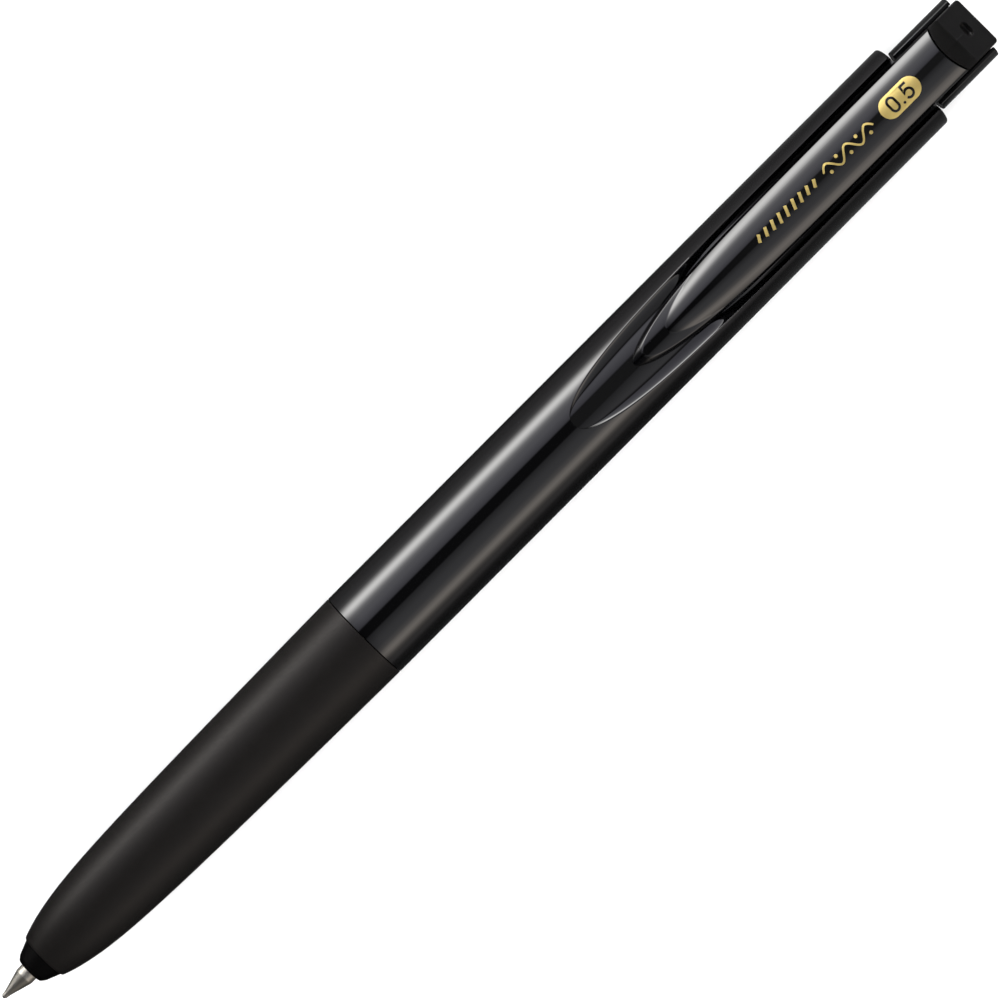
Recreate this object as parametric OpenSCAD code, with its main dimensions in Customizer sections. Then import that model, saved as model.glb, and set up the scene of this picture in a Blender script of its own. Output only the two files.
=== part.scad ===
// Retractable gel pen: an assembly of separate pieces, shown with its point out.
//
// Each piece is modelled along its own Z axis, from the ball at z = 0 to the push end, with its clip
// towards +X. lay() then puts the pen down on Z = 0 with its point towards -X and its clip upwards.

/* [Pen] */
// Length with the point out, from the ball to the cap
pen_length = 140; // [139:0.1:142]
// Diameter of the barrel
barrel_d = 10.37; // [10.3:0.01:10.8]
// Diameter of the barrel at its rear end
barrel_rear_d = 10.3; // [10.28:0.01:10.37]
// Distance from the ball to the barrel's front edge
barrel_front = 52; // [50:0.5:54]
// Distance from the ball to the barrel's rear edge
barrel_rear = 130.7; // [130.5:0.05:130.8]

/* [Front section] */
// Distance from the ball to the nose's front face
nose_front = 3.85; // [3.7:0.01:4.1]
// Distance from the ball to the grip's front edge
grip_front = 5.95; // [5.8:0.01:6.1]
// Thickness of the grip's rubber at its rear
grip_wall = 0.95; // [0.8:0.01:1]
// Length of the threaded spigot that goes into the barrel
spigot_length = 9; // [7:0.5:10]
// Radial running clearance of the thread
thread_gap = 0.06; // [0.03:0.01:0.1]

/* [Clip] */
// Distance from the ball to the clip's lower tip
clip_tip = 90.6; // [90:0.1:92]
// Width of the clip
clip_w = 5.9; // [5.6:0.02:5.94]
// Height of the clip's crown above the pen's axis
clip_crown = 5.25; // [5.2:0.01:5.4]
// Radius of the clip's crown, seen from its end
clip_crown_r = 4.3; // [4.1:0.1:5]
// Distance from the ball to the clip's flexing root
clip_root = 133; // [132.8:0.1:133.2]

/* [Recess under the clip] */
// Distance from the ball to the recess's pointed front end
recess_front = 82.15; // [81.8:0.05:82.6]
// Width of the recess at the barrel's rear
recess_w = 7.4; // [7.3:0.05:7.5]
// Height of the recess's floor above the pen's axis, at its edges
recess_floor = 3.6; // [3.55:0.01:3.65]
// Height of the floor's rounded crown above the pen's axis
floor_crown = 3.85; // [3.75:0.01:3.86]

/* [Push mechanism] */
// Diameter of the push tube behind the barrel
push_d = 7.98; // [7.9:0.01:8.1]
// Distance from the ball to the push tube's front edge
push_front = 131.2; // [131.15:0.01:131.3]
// Width of the end cap
cap_w = 5.96; // [5.8:0.02:6]
// Number of grooves in the guide, and of ribs on the rotor and the plunger
rib_count = 4; // [4]

/* [Refill] */
// Diameter of the ink tube
tube_d = 5.9; // [5.8:0.02:5.92]
// Inside diameter of the ink tube
tube_bore_d = 4.2; // [4:0.1:4.4]
// Length of the refill, from the ball to its rear end
refill_length = 106; // [105.8:0.1:106.2]
// Diameter of the writing ball
ball_d = 0.5; // [0.5]
// Diameter of the steel point where it leaves the nose
nib_d = 2.05; // [1.9:0.01:2.1]

/* [Return spring] */
// Diameter of the spring's wire
wire_d = 0.4; // [0.3:0.05:0.4]
// Number of turns
spring_turns = 11; // [8:1:13]

/* [Hidden] */

facets = 96;
fine_facets = 48;
eps = 0.01;
fit_gap = 0.02;          // between pieces pressed or snapped together
barrel_r = barrel_d / 2;
rear_r = barrel_rear_d / 2;
bore_r = 3.1;            // bore that guides the refill
guide_bore_r = 3.75;     // wider bore that holds the cam guide
guide_front = 100.5;
slot_front = 103;        // from here on the recess opens into the guide's bore
slot_half_w = 2.3;
socket_r = 4.1;          // the barrel's threaded socket
socket_end = barrel_front + spigot_length + 1.5;

// The nose, the core under the grip and the grip follow these lines, seen from the side
nose_corner_r = 1.75;
nose_back_r = 2.5;
core_front_wall = 0.45;  // rubber thickness where the grip begins
spring_seat = 9.5;       // ledge in the nose that the spring pushes on
spring_chamber_r = 2.1;
chamber_end = 18.6;
flange_front = 20;       // shoulder on the refill that the spring pushes on
tip_hole_r = 1.18;

// The refill's inside, from the point backwards
point_rear = 10.5;
collar_rear = 7.5;       // the steel point's wide front part ends here, against its holder
holder_rear = 30;
ink_end = 78;
follower_end = 84;
plug_flange = 4;         // the tail plug closes this much of the refill's rear end
tube_front = flange_front + 4;
shank_r = 0.8;           // the steel point's narrow rear part
point_bore_r = 0.35;
feed_r = 0.6;            // bore that leads the ink to the point
small_spring_wire_r = 0.05;
small_spring_r = 0.24;

// The push mechanism, from the refill's rear end backwards
teeth_front = refill_length + 5.6;   // guide's ribs begin just behind the refill's rearmost place
teeth_end = teeth_front + 9.4;
guide_rib_r = 2.45;
guide_rear_r = 3.15;
rib_r = 2.95;
neck_r = 3.08;
neck_front = teeth_end + 1.4;
tooth_depth = 0.7;
rotor_front = refill_length + 0.1;
rotor_end = refill_length + 6;
plunger_front = rotor_end + 0.8;
push_r = push_d / 2;
push_end = pen_length - 0.8;
cavity_half_w = cap_w / 2 + 0.05;
bulkhead = 0.7;
peg_h = 3.4;             // height of the clip's pivot above the axis
peg_r = 0.4;
peg_hole_r = 0.45;
peg_length = 5;
flex_gap = 0.15;         // room for the clip's root to turn
clip_end = 134.7;        // the clip's crown ends here, and its sides a little further back
clip_end_sag = 0.65;
clip_skirt = 3.72;       // lower edge of the clip's sides above the axis
clip_root_low = 2.7;     // the clip's root reaches down to here, between the push tube's walls
tongue_half_w = 1.9;     // the push tube's tongue, which carries the pivot
tongue_top = peg_h + 0.5;
cap_ramp_front = clip_end + flex_gap;
cap_ramp_end = 136.7;
cap_plateau = 3.3;       // height of the cap's thumb rest
cavity_low = -2.2;       // floor of the space between the push tube's walls
cap_low = cavity_low + 0.1;
cap_rear_draft = 0.34;   // the cap's rear face leans forward by this much

function tanh(x) = (exp(2 * x) - 1) / (exp(2 * x) + 1);
// Radius of the grip: two exponential curves, a quick one at the nose and a slow one behind it
function grip_radius(z) = 5.69 - 1.58 * exp(-(z - 6) / 4.55) - 1.40 * exp(-(z - 6) / 45.5);
function core_radius(z) = grip_radius(z) - min(grip_wall, core_front_wall + 0.07 * (z - grip_front));
// Half width of the recess's rim and of the clip's outline, seen from above
function recess_half_w(z) = recess_w / 2 * pow(tanh(max(0, z - recess_front) / 10.8), 0.4);
function clip_half_w(z) = clip_w / 2 * sqrt(tanh(max(0, z - clip_tip) / 9.5));
// The clip's rear end is an arc when seen from above
function clip_rear(y) = clip_end + clip_end_sag * pow(2 * y / clip_w, 2);
// Height of the recess's floor: it swoops down from the barrel's surface
function floor_height(z) = recess_floor + (barrel_r - recess_floor) * exp(-(z - recess_front) / 5.2);

// ---- helpers ----

module lay() {
    translate([-pen_length / 2, 0, barrel_r])
        rotate([0, 90, 0])
            rotate([0, 0, 180])
                children();
}

// A round solid or hole from z0 to z1
module rod(r, z0, z1, n = facets) {
    translate([0, 0, z0])
        cylinder(r = r, h = z1 - z0, $fn = n);
}

module taper(r0, r1, z0, z1, n = facets) {
    translate([0, 0, z0])
        cylinder(r1 = r0, r2 = r1, h = z1 - z0, $fn = n);
}

// A block from z0 to z1, centred across the pen, between two heights above the axis
module block(half_w, low, high, z0, z1) {
    translate([low, -half_w, z0])
        cube([high - low, 2 * half_w, z1 - z0]);
}

// An outline of [z, height] points seen from the side, reaching half_w to each side of the pen's middle
module side_profile(points, half_w) {
    rotate([90, 0, 0])
        linear_extrude(2 * half_w, center = true)
            polygon([for (p = points) [p[1], p[0]]]);
}

// An outline of [z, y] points seen from above, standing from height low to height high
module plan_outline(points, low, high) {
    translate([low, 0, 0])
        rotate([0, 90, 0])
            linear_extrude(high - low)
                polygon([for (p = points) [-p[0], p[1]]]);
}

// A spun solid from a list of [r, z] points
module spun(points, n = facets) {
    rotate_extrude($fn = n)
        polygon(points);
}

// Straight ribs around the axis, on the diagonals between the clip's plane and the pen's sides
module ribs(r_in, r_out, width, z0, z1) {
    for (k = [0 : rib_count - 1])
        rotate([0, 0, 45 + k * 360 / rib_count])
            intersection() {
                translate([r_in, -width / 2, z0])
                    cube([r_out, width, z1 - z0]);
                rod(r_out, z0 - eps, z1 + eps);
            }
}

// V-shaped notches across a round face, which leave a crown of teeth
module tooth_notches(z, depth, count) {
    for (k = [0 : count - 1])
        rotate([0, 0, k * 180 / count])
            translate([0, 0, z])
                rotate([45, 0, 0])
                    cube([8, depth * 1.2, depth * 1.2], center = true);
}

// A coil of wire between two heights, as one closed mesh
module coil(mean_r, wire_r, z0, z1, turns, sides, steps) {
    rise = z1 - z0 - 2 * wire_r;
    rings = turns * steps;
    dead = steps;        // the first and last turn lie flat
    function climb(i) = i <= dead ? i / dead * 2 * wire_r
        : i >= rings - dead ? rise - (rings - i) / dead * 2 * wire_r
        : 2 * wire_r + (rise - 4 * wire_r) * (i - dead) / (rings - 2 * dead);
    points = [for (i = [0 : rings]) for (k = [0 : sides - 1])
        let (a = 360 * i / steps, b = 360 * k / sides, r = mean_r + wire_r * cos(b))
        [r * cos(a), r * sin(a), z0 + wire_r + climb(i) + wire_r * sin(b)]];
    walls = [for (i = [0 : rings - 1]) for (k = [0 : sides - 1])
        let (n = (k + 1) % sides)
        [i * sides + k, (i + 1) * sides + k, (i + 1) * sides + n, i * sides + n]];
    first_end = [for (k = [0 : sides - 1]) k];
    last_end = [for (k = [sides - 1 : -1 : 0]) rings * sides + k];
    polyhedron(points, concat(walls, [first_end], [last_end]), convexity = 10);
}

// ---- barrel ----

module barrel_blank() {
    chamfer = 0.35;
    spun([[0, barrel_front], [barrel_r - 0.05, barrel_front], [barrel_r, barrel_front + 0.05],
          [barrel_r, recess_front], [rear_r, barrel_rear - chamfer],
          [rear_r - chamfer, barrel_rear], [0, barrel_rear]]);
}

// The space of the recess: its outline seen from above, down to the swooping floor
module recess_space() {
    stations = [for (i = [0 : 15]) recess_front + 0.02 + 24 * pow(i / 15, 2)];
    half = [for (z = stations) [z, recess_half_w(z)]];
    rear = barrel_rear + 1;
    outline = concat(half, [[rear, recess_w / 2], [rear, -recess_w / 2]],
                     [for (i = [15 : -1 : 0]) [half[i][0], -half[i][1]]]);
    side = concat([for (z = stations) [z, floor_height(z)]],
                  [[rear, recess_floor], [rear, 7], [recess_front, 7]]);
    difference() {
        intersection() {
            plan_outline(outline, recess_floor - 1, 7);
            side_profile(side, recess_w);
        }
        rod(floor_crown, recess_front - 5, rear + 1);
    }
}

module rear_barrel() {
    lay() color([0.03, 0.03, 0.035])
        difference() {
            barrel_blank();
            rod(socket_r, barrel_front - 1, socket_end);
            rod(bore_r, barrel_front, barrel_rear);
            rod(guide_bore_r, guide_front, barrel_rear + 1);
            recess_space();
            block(slot_half_w, 0, 7, slot_front, barrel_rear + 1);
        }
}

module cam_guide() {
    lay() color([0.85, 0.86, 0.88])
        difference() {
            rod(guide_bore_r - fit_gap, guide_front, barrel_rear - 0.3);
            rod(bore_r, guide_front - 1, teeth_front);
            rod(guide_rib_r, teeth_front - 1, teeth_end + 1);
            ribs(0, bore_r, 1.3, teeth_front - 1, teeth_end + 1);
            rod(guide_rear_r, teeth_end, barrel_rear);
        }
}

// ---- front section ----

module front_barrel() {
    core_stations = [for (z = [grip_front : 2 : barrel_front - 2]) z];
    core_end_r = core_radius(barrel_front);
    spigot_r = socket_r - thread_gap;
    spigot_end = barrel_front + spigot_length;
    lay() color([0.05, 0.045, 0.045])
        difference() {
            spun(concat(
                [[0, nose_front], [nose_corner_r - 0.25, nose_front], [nose_corner_r, nose_front + 0.25],
                 [nose_back_r, grip_front]],
                [for (z = core_stations) [core_radius(z), z]],
                [[core_end_r, barrel_front - 0.05], [spigot_r, barrel_front - 0.05],
                 [spigot_r, spigot_end - 0.5], [spigot_r - 0.5, spigot_end], [0, spigot_end]]));
            rod(tip_hole_r, nose_front - 1, 7);
            rod(1.5, 6, spring_seat + 1);
            rod(spring_chamber_r, spring_seat, chamber_end + eps);
            taper(spring_chamber_r, bore_r, chamber_end, chamber_end + 0.8);
            rod(bore_r, chamber_end + 0.8, spigot_end + 1);
        }
}

module grip() {
    stations = concat([for (i = [0 : 9]) grip_front + 0.15 + 12 * pow(i / 9, 1.6)],
                      [for (z = [22 : 5 : barrel_front - 2]) z]);
    end_z = barrel_front - 0.05;
    lay() color([0.12, 0.11, 0.105])
        spun(concat(
            [[nose_back_r, grip_front], [grip_radius(grip_front) - 0.1, grip_front]],
            [for (z = stations) [grip_radius(z), z]],
            [[grip_radius(end_z) - 0.03, end_z - 0.1], [grip_radius(end_z) - 0.08, end_z],
             [core_radius(end_z) + fit_gap, end_z]],
            [for (i = [round((barrel_front - 2 - grip_front) / 2) : -1 : 1])
                [core_radius(grip_front + 2 * i) + fit_gap, grip_front + 2 * i]]));
}

module return_spring() {
    lay() color([0.75, 0.76, 0.78])
        coil(spring_chamber_r - 0.15 - wire_d / 2, wire_d / 2, spring_seat + fit_gap,
             flange_front - fit_gap, spring_turns, 6, 16);
}

// ---- refill ----

module refill_tube() {
    lay() color([0.82, 0.84, 0.86])
        difference() {
            rod(tube_d / 2, tube_front, refill_length - plug_flange);
            rod(tube_bore_d / 2, flange_front, refill_length);
        }
}

module nib_holder() {
    lay() color([0.9, 0.9, 0.88])
        difference() {
            spun([[0, collar_rear], [1.1, collar_rear], [1.3, collar_rear + 0.3], [1.3, flange_front],
                  [tube_d / 2 - 0.15, flange_front], [tube_d / 2, flange_front + 0.15],
                  [tube_d / 2, tube_front], [tube_bore_d / 2 - fit_gap, tube_front],
                  [tube_bore_d / 2 - fit_gap, holder_rear - 0.5],
                  [tube_bore_d / 2 - 0.4, holder_rear], [0, holder_rear]]);
            rod(shank_r + fit_gap, collar_rear - 0.5, point_rear + 0.1, fine_facets);
            rod(feed_r, point_rear - 0.5, holder_rear + 1, fine_facets);
        }
}

module nib() {
    cone_end = 3.05;
    ball_r = ball_d / 2;
    lip = 0.17;          // the ball sticks out of the point by this much
    lay() color([0.78, 0.77, 0.74])
        difference() {
            spun([[0, lip], [0.29, lip], [0.35, 0.65], [nib_d / 2, cone_end], [nib_d / 2, collar_rear],
                  [shank_r, collar_rear], [shank_r, point_rear - 0.1], [shank_r - 0.1, point_rear],
                  [0, point_rear]], fine_facets);
            translate([0, 0, ball_r])
                sphere(r = ball_r + 0.015, $fn = fine_facets);
            rod(0.12, ball_r, 2, fine_facets);
            rod(point_bore_r, 1.6, point_rear + 1, fine_facets);
        }
}

module ball_spring() {
    lay() color([0.8, 0.8, 0.82])
        coil(small_spring_r, small_spring_wire_r, 1.65, point_rear - 0.3, 12, 5, 10);
}

module gel_ink() {
    lay() color([0.02, 0.02, 0.03]) {
        rod(tube_bore_d / 2 - fit_gap, holder_rear + fit_gap, ink_end, fine_facets);
        rod(feed_r - fit_gap, point_rear + 0.2, holder_rear + 0.1, fine_facets);
    }
}

module ink_follower() {
    lay() color([0.86, 0.84, 0.7])
        rod(tube_bore_d / 2 - fit_gap, ink_end + fit_gap, follower_end, fine_facets);
}

module tail_plug() {
    lay() color([0.1, 0.1, 0.11])
        difference() {
            union() {
                rod(tube_bore_d / 2 - fit_gap, refill_length - 7, refill_length - plug_flange + eps);
                rod(tube_d / 2, refill_length - plug_flange, refill_length);
            }
            rod(1, refill_length - 8, refill_length + 1);
        }
}

module tip_ball() {
    lay() color([0.35, 0.35, 0.37])
        translate([0, 0, ball_d / 2])
            sphere(r = ball_d / 2, $fn = fine_facets);
}

// ---- push mechanism ----

module rotor() {
    lay() color([0.9, 0.9, 0.9])
        difference() {
            union() {
                rod(0.95, refill_length - 2, rotor_front + eps);
                rod(2.3, rotor_front, rotor_end);
                ribs(1.5, rib_r, 1, rotor_front + 1.7, rotor_end - 1.4);
            }
            tooth_notches(rotor_end, tooth_depth, rib_count);
            rod(1.1, rotor_end - 3, rotor_end + 1);
        }
}

module plunger() {
    lay() color([0.15, 0.15, 0.16])
        difference() {
            union() {
                rod(2.3, plunger_front, neck_front + 8);
                ribs(1.5, rib_r, 1, plunger_front + 0.4, neck_front - fit_gap);
            }
            tooth_notches(plunger_front, tooth_depth, rib_count);
            rod(1.1, plunger_front - 1, neck_front + 6);
        }
}

module push_tube() {
    wall_out = push_r + 1;
    edge = 0.3;
    lay() color([0.03, 0.03, 0.035])
        difference() {
            union() {
                rod(neck_r, neck_front, push_front + eps);
                spun([[0, push_front], [push_r - 0.15, push_front], [push_r, push_front + 0.15],
                      [push_r, push_end - edge], [push_r - edge, push_end], [0, push_end]]);
                block(tongue_half_w, 0, tongue_top, push_front, clip_root + 0.5);
            }
            rod(2.3 + fit_gap, neck_front - 1, neck_front + 8 + fit_gap);
            // open top: the clip's root and the cap sit between the two side walls
            difference() {
                block(cavity_half_w, cavity_low, wall_out, push_front + bulkhead, push_end + 1);
                block(tongue_half_w, cavity_low - 1, tongue_top, push_front, clip_root + 0.5);
            }
            difference() {
                block(cavity_half_w, 2.35, wall_out, push_front - 1, push_front + bulkhead + eps);
                block(tongue_half_w, cavity_low - 1, tongue_top, push_front - 2, clip_root + 0.5);
            }
        }
    lay() color([0.03, 0.03, 0.035])
        translate([peg_h, 0, clip_root])
            rotate([90, 0, 0])
                cylinder(r = peg_r, h = peg_length, center = true, $fn = fine_facets);
}

module end_cap() {
    plan_corner = 0.4;
    half = cap_w / 2;
    front = clip_root + 0.7;
    steps = 8;
    lay() color([0.07, 0.07, 0.07])
        difference() {
            intersection() {
                // Seen from the side: a sloping ramp, the flat thumb rest, and a rear face with some draft
                side_profile([[front, cap_low], [front, clip_crown], [cap_ramp_front, clip_crown],
                              [cap_ramp_end, cap_plateau], [pen_length - cap_rear_draft - 0.15, cap_plateau],
                              [pen_length - cap_rear_draft, cap_plateau - 0.15],
                              [pen_length, cap_low + 0.4], [pen_length - 0.4, cap_low]], half);
                plan_outline([[front, -half], [pen_length - plan_corner, -half],
                              [pen_length, -half + plan_corner], [pen_length, half - plan_corner],
                              [pen_length - plan_corner, half], [front, half]], -3, 6);
                clip_crown_space();
            }
            // room for the clip's rear end, with a gap for its flexing
            plan_outline(concat([[front - 1, 4], [front - 1, -4]],
                                [for (i = [0 : steps])
                                    let (y = -4 + 8 * i / steps)
                                    [clip_rear(y) + flex_gap, y]]), 2.3, 7);
        }
}

// ---- clip ----

// The crowned space under the clip's round top, which the cap's ramp follows too
module clip_crown_space() {
    centre = clip_crown - clip_crown_r;
    translate([centre, 0, clip_tip - 1])
        cylinder(r = clip_crown_r, h = pen_length - clip_tip + 2, $fn = facets);
    block(cap_w / 2, -3, centre, clip_tip - 1, pen_length + 1);
}

module clip() {
    half = clip_w / 2;
    steps = 13;
    stations = [for (i = [0 : steps]) clip_tip + 0.05 + 22 * pow(i / steps, 2)];
    outline = concat([for (z = stations) [z, clip_half_w(z)]],
                     [for (i = [0 : 8]) let (y = half - clip_w * i / 8) [clip_rear(y), y]],
                     [for (i = [steps : -1 : 0]) [stations[i], -clip_half_w(stations[i])]]);
    tip_low = floor_height(clip_tip) + 0.2;
    root_front = push_front + 0.15;
    // Seen from the side: sloping nose, long facet, crown, then the underside
    side = [[clip_tip, tip_low], [clip_tip, tip_low + 0.15], [clip_tip + 1.5, 5.02],
            [clip_tip + 4.8, clip_crown + 0.02], [clip_tip + 5.2, clip_crown + 0.2],
            [clip_end + 2, clip_crown + 0.2], [clip_end + 2, clip_root_low], [root_front, clip_root_low],
            [root_front, clip_skirt], [clip_tip + 8, clip_skirt + 0.15], [clip_tip + 2, tip_low]];
    lay() color([0.03, 0.03, 0.035])
        difference() {
            intersection() {
                clip_crown_space();
                plan_outline(outline, 2, 6);
                side_profile(side, half);
            }
            // hollow underside between two skirts, over the barrel and over the push tube's tongue
            block(tongue_half_w, 3, 4.05, clip_tip + 9, root_front);
            block(tongue_half_w + 0.05, 2, 4.1, root_front - 0.1, clip_root + 0.7);
            block(tongue_half_w + 0.05, 2, peg_h, clip_root + 0.6, clip_end + 2);
            translate([peg_h, 0, clip_root])
                rotate([90, 0, 0])
                    cylinder(r = peg_hole_r, h = peg_length + 0.1, center = true, $fn = fine_facets);
        }
}

rear_barrel();
cam_guide();
front_barrel();
grip();
return_spring();
refill_tube();
nib_holder();
nib();
ball_spring();
gel_ink();
ink_follower();
tail_plug();
tip_ball();
rotor();
plunger();
push_tube();
end_cap();
clip();
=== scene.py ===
import math

import bmesh
import bpy
from mathutils import Matrix, Vector


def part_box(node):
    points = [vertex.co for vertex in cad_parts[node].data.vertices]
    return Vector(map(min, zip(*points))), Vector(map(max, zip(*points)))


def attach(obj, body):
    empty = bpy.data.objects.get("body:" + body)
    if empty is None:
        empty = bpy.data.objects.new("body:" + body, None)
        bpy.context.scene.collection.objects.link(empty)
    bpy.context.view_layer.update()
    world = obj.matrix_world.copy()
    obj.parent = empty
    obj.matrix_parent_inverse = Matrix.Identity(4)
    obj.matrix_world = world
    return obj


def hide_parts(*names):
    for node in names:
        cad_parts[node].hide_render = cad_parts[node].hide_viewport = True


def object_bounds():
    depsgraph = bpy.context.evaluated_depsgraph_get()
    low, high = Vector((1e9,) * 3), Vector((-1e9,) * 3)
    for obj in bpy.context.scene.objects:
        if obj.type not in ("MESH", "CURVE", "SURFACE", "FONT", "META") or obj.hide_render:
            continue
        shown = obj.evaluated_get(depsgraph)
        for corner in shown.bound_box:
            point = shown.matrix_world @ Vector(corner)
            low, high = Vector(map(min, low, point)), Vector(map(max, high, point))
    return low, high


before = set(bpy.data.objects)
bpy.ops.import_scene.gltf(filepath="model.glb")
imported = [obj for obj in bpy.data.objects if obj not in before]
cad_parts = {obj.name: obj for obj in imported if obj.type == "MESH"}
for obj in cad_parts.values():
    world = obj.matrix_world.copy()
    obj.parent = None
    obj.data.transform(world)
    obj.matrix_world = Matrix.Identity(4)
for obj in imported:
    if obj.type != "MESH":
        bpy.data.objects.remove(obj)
cad_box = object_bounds()

# ---- Places. The pen's own millimetres: z along it from the ball, y across it, h above its axis ----

MM = 0.001
TIP_X = cad_box[0].x
AXIS_Z = sum(corner.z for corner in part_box("tip_ball")) / 2


def place(z, y, h):
    return Vector((TIP_X + z * MM, y * MM, AXIS_Z + h * MM))


def ends(node):
    """Where a CAD node starts and ends along the pen."""
    low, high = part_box(node)
    return (low.x - TIP_X) / MM, (high.x - TIP_X) / MM


def half_width(node):
    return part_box(node)[1].y / MM


def top_of(node):
    return (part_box(node)[1].z - AXIS_Z) / MM


BARREL_FRONT, BARREL_REAR = ends("rear_barrel")
NOSE_FRONT, SPIGOT_END = ends("front_barrel")
GRIP_FRONT, GRIP_REAR = ends("grip")
CLIP_TIP, CLIP_SIDE_END = ends("clip")
NECK_FRONT, PUSH_END = ends("push_tube")
CAP_FRONT, CAP_END = ends("end_cap")
TUBE_FRONT, TUBE_REAR = ends("refill_tube")
HOLDER_FRONT, HOLDER_REAR = ends("nib_holder")
NIB_FRONT, NIB_REAR = ends("nib")
PLUG_FRONT, PLUG_REAR = ends("tail_plug")
SPRING_FRONT, SPRING_REAR = ends("return_spring")
BALL_SPRING_FRONT, BALL_SPRING_REAR = ends("ball_spring")
INK_REAR = ends("gel_ink")[1]
GREASE_FRONT, GREASE_REAR = ends("ink_follower")

BARREL_R = half_width("rear_barrel")
REAR_R = BARREL_R - 0.035
GUIDE_BORE_R = 3.75      # the barrel's rear bore, round the cam guide
GUIDE_FRONT = 100.5
BORE_R = 3.1             # its middle bore, round the refill
SOCKET_R = 4.1           # its front bore, round the threaded spigot
SOCKET_END = 62.5
SLOT_FRONT = 103.0       # from here back the recess is open into the guide's bore
SLOT_HALF = 2.3
TUBE_R = half_width("refill_tube")
TUBE_BORE_R = 2.1
CLIP_HALF = half_width("clip")
CLIP_CROWN = top_of("clip") - 0.015
CAP_HALF = half_width("end_cap")
PUSH_R = half_width("push_tube")
PUSH_FRONT = 131.2
RECESS_FRONT = 82.05
RECESS_HALF = 3.7


# ---- Small shape functions ----

def lerp(a, b, t):
    return a + (b - a) * t


def clamp(x, low=0.0, high=1.0):
    return max(low, min(high, x))


def smooth_min(a, b, width):
    """The lower of two heights, with a fillet about as wide as width where they cross."""
    t = clamp(0.5 + 0.5 * (b - a) / width)
    return lerp(b, a, t) - width * t * (1 - t)


def smooth_max(a, b, width):
    return -smooth_min(-a, -b, width)


def edge_drop(distance, radius):
    """How far a rounded edge has dropped, at a distance from the edge's outer face."""
    if distance >= radius:
        return 0.0
    reach = radius - max(0.0, distance)
    return radius - math.sqrt(max(0.0, radius * radius - reach * reach))


def spread(start, end, count, ease=1.0):
    """Values from start to end. An ease above 1 crowds them at the start."""
    return [start + (end - start) * (i / count) ** ease for i in range(count + 1)]


def crowded(start, end, count):
    """Values from start to end, crowded at both ends."""
    return [lerp(start, end, 0.5 - 0.5 * math.cos(math.pi * i / count)) for i in range(count + 1)]


def rounded(corners, closed=True, steps=6):
    """An outline of (a, b) points from corners of (a, b, fillet radius)."""
    count = len(corners)
    points = []
    for i, (a, b, radius) in enumerate(corners):
        here = Vector((a, b))
        if radius <= 0 or (not closed and i in (0, count - 1)):
            points.append((a, b))
            continue
        before = Vector(corners[i - 1][:2]) - here
        after = Vector(corners[(i + 1) % count][:2]) - here
        half_angle = before.angle(after) / 2
        reach = min(radius / math.tan(half_angle), 0.49 * before.length, 0.49 * after.length)
        inner = reach * math.tan(half_angle)
        start = here + before.normalized() * reach
        end = here + after.normalized() * reach
        middle = here + (before.normalized() + after.normalized()).normalized() * inner / math.sin(half_angle)
        first = math.atan2(start.y - middle.y, start.x - middle.x)
        last = math.atan2(end.y - middle.y, end.x - middle.x)
        turn = (last - first + math.pi) % (2 * math.pi) - math.pi
        for k in range(steps + 1):
            angle = first + turn * k / steps
            points.append((middle.x + inner * math.cos(angle), middle.y + inner * math.sin(angle)))
    return points


# ---- Mesh builders ----

def finished(name, bm, crease=38):
    """Turns a bmesh into an object, smooth except along edges sharper than crease degrees."""
    bmesh.ops.recalc_face_normals(bm, faces=bm.faces)
    mesh = bpy.data.meshes.new(name)
    bm.to_mesh(mesh)
    bm.free()
    mesh.shade_smooth()
    mesh.set_sharp_from_angle(angle=math.radians(crease))
    piece = bpy.data.objects.new(name, mesh)
    bpy.context.scene.collection.objects.link(piece)
    return piece


def strip(bm, first, second, loop=False):
    """Joins two rows of vertices with quads, or with triangles where a row is a single point."""
    count = max(len(first), len(second))
    for k in range(count if loop else count - 1):
        n = (k + 1) % count
        corners = [first[k % len(first)], first[n % len(first)],
                   second[n % len(second)], second[k % len(second)]]
        bm.faces.new(list(dict.fromkeys(corners)))


def lathe(name, profile, segments=160, shape=None):
    """A spun piece. Its profile of (z, radius) is a closed loop, or goes from the axis back to the axis."""
    bm = bmesh.new()
    rings = []
    for z, radius in profile:
        if radius < 1e-6:
            rings.append([bm.verts.new(place(z, 0, 0))])
            continue
        ring = []
        for k in range(segments):
            angle = 2 * math.pi * k / segments
            r = shape(z, radius, angle) if shape else radius
            ring.append(bm.verts.new(place(z, r * math.sin(angle), r * math.cos(angle))))
        rings.append(ring)
    pairs = list(zip(rings, rings[1:]))
    if profile[0][1] > 1e-6:
        pairs.append((rings[-1], rings[0]))
    for first, second in pairs:
        strip(bm, first, second, loop=True)
    return finished(name, bm)


def prism(name, outline, stations):
    """A bar along the pen from an outline of (y, h) and stations of (z, inset)."""
    count = len(outline)
    area = sum(outline[i - 1][0] * outline[i][1] - outline[i][0] * outline[i - 1][1] for i in range(count))
    side = 1 if area > 0 else -1
    inward = []
    for i in range(count):
        along = Vector(outline[(i + 1) % count]) - Vector(outline[i - 1])
        inward.append(Vector((-along.y, along.x)).normalized() * side)
    bm = bmesh.new()
    rings = []
    for z, inset in stations:
        rings.append([bm.verts.new(place(z, y + way.x * inset, h + way.y * inset))
                      for (y, h), way in zip(outline, inward)])
    for first, second in zip(rings, rings[1:]):
        strip(bm, first, second, loop=True)
    bm.faces.new(rings[0])
    bm.faces.new(list(reversed(rings[-1])))
    return finished(name, bm)


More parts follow.
